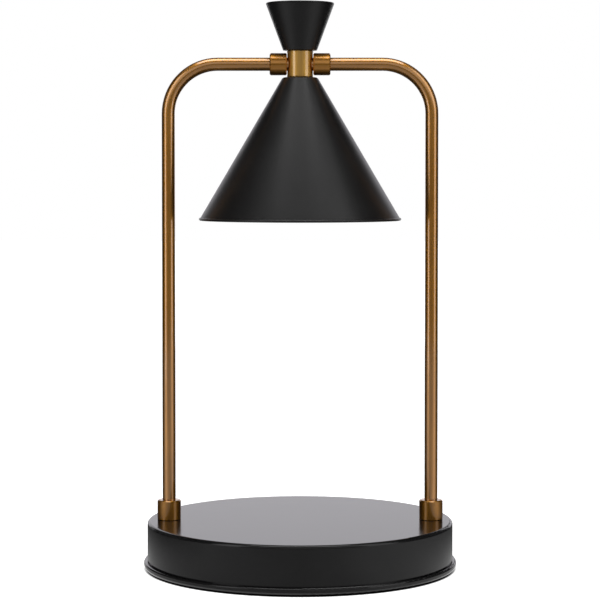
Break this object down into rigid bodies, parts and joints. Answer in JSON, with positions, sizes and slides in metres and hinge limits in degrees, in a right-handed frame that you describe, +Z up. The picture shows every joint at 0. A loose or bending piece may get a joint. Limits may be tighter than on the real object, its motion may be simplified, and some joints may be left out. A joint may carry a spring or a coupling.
{
  "type": "candle warmer",
  "caption": "Table lamp that melts a candle from above: round weighted base, bent tube frame, tilting conical shade on a hub with a finial, and a twist-lock reflector bulb inside.",
  "frame": {"origin": "centre of the round base, on the surface that the rubber feet stand on", "axes": "+Z up, +X to the right along the crossbar, -Y towards the front"},
  "size_m": [0.1906, 0.1906, 0.3434],
  "materials": {
    "black_powder_coat": "satin black powder coat on steel",
    "antique_brass": "brushed antique brass, clear lacquered",
    "black_rubber": "matt black rubber",
    "cast_iron": "rough grey cast iron",
    "zinc_plated_steel": "zinc plated steel",
    "blackened_steel": "blackened steel",
    "white_nylon": "moulded white nylon",
    "plain_brass": "turned brass",
    "lead_sheath": "black heat-resistant sheath",
    "holder_ceramic": "unglazed white ceramic",
    "bulb_ceramic": "white ceramic",
    "nickel_plate": "nickel plate",
    "bulb_mirror": "glass bowl with an aluminised inside",
    "clear_glass": "clear glass"
  },
  "bodies": {
    "stand": {"base_housing": "black_powder_coat", "base_cover": "black_powder_coat", "rubber_feet": "black_rubber", "ballast_weight": "cast_iron", "cover_screws": "zinc_plated_steel", "ballast_screws": "zinc_plated_steel", "terminal_block": "white_nylon", "terminal_inserts": "plain_brass", "terminal_screws": "plain_brass", "block_screw": "zinc_plated_steel", "cord_grommet": "black_rubber", "left_arm": "antique_brass", "right_arm": "antique_brass", "left_base_ferrule": "antique_brass", "right_base_ferrule": "antique_brass", "left_hub_ferrule": "antique_brass", "right_hub_ferrule": "antique_brass", "ferrule_screws": "blackened_steel", "arm_lock_washers": "zinc_plated_steel", "arm_lock_nuts": "zinc_plated_steel", "arm_lead": "lead_sheath"},
    "head": {"hub": "antique_brass", "finial_cone": "black_powder_coat", "finial_lid": "black_powder_coat", "finial_stud": "zinc_plated_steel", "finial_nut": "zinc_plated_steel", "shade": "black_powder_coat", "shade_nipple": "zinc_plated_steel", "shade_washer": "zinc_plated_steel", "shade_nut": "zinc_plated_steel", "holder_nut": "zinc_plated_steel", "holder_bracket": "zinc_plated_steel", "lampholder": "holder_ceramic", "holder_contacts": "plain_brass", "holder_screws": "zinc_plated_steel", "head_lead": "lead_sheath"},
    "bulb": {"bulb_cap": "bulb_ceramic", "bulb_pins": "nickel_plate", "bulb_reflector": "bulb_mirror", "bulb_lens": "clear_glass", "bulb_capsule": "clear_glass"}
  },
  "joints": [
    {"name": "head_tilt", "type": "hinge", "parent": "stand", "child": "head", "pos_m": [0, 0, 0.3064], "axis": [1, 0, 0], "range_deg": [-25, 25]},
    {"name": "bulb_twist", "type": "hinge", "parent": "head", "child": "bulb", "pos_m": [0, 0, 0.2636], "axis": [0, 0, 1], "range_deg": [-45, 0]}
  ]
}
